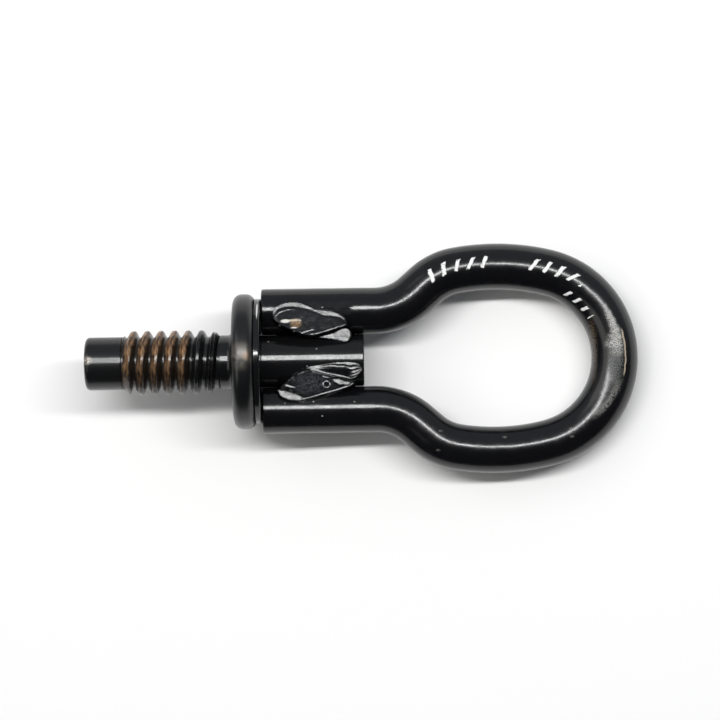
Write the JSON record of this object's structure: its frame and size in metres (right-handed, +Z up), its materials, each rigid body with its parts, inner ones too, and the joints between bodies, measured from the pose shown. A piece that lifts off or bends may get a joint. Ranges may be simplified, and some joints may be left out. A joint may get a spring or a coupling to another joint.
{
  "type": "tow eye",
  "caption": "Screw-in tow eye: a keyhole-shaped loop of round bar welded to a flanged stud with a coarse left-hand thread.",
  "frame": {"origin": "middle of the flange's seat, on the stud's axis", "axes": "+X level, from the flange towards the loop's end; +Y across the eye; +Z up from the ground it lies on"},
  "size_m": [0.1615, 0.0674, 0.0395],
  "materials": {
    "stud_steel": "black-finished steel, rusted on the thread and worn on the flange",
    "black_paint": "thick gloss black paint, scuffed at the loop's end",
    "painted_weld": "weld bead under gloss black paint"
  },
  "bodies": {
    "root": {"threaded_stud": "stud_steel", "loop_bar": "black_paint", "weld_upper_front": "painted_weld", "weld_lower_front": "painted_weld", "weld_upper_back": "painted_weld", "weld_lower_back": "painted_weld"}
  },
  "joints": []
}
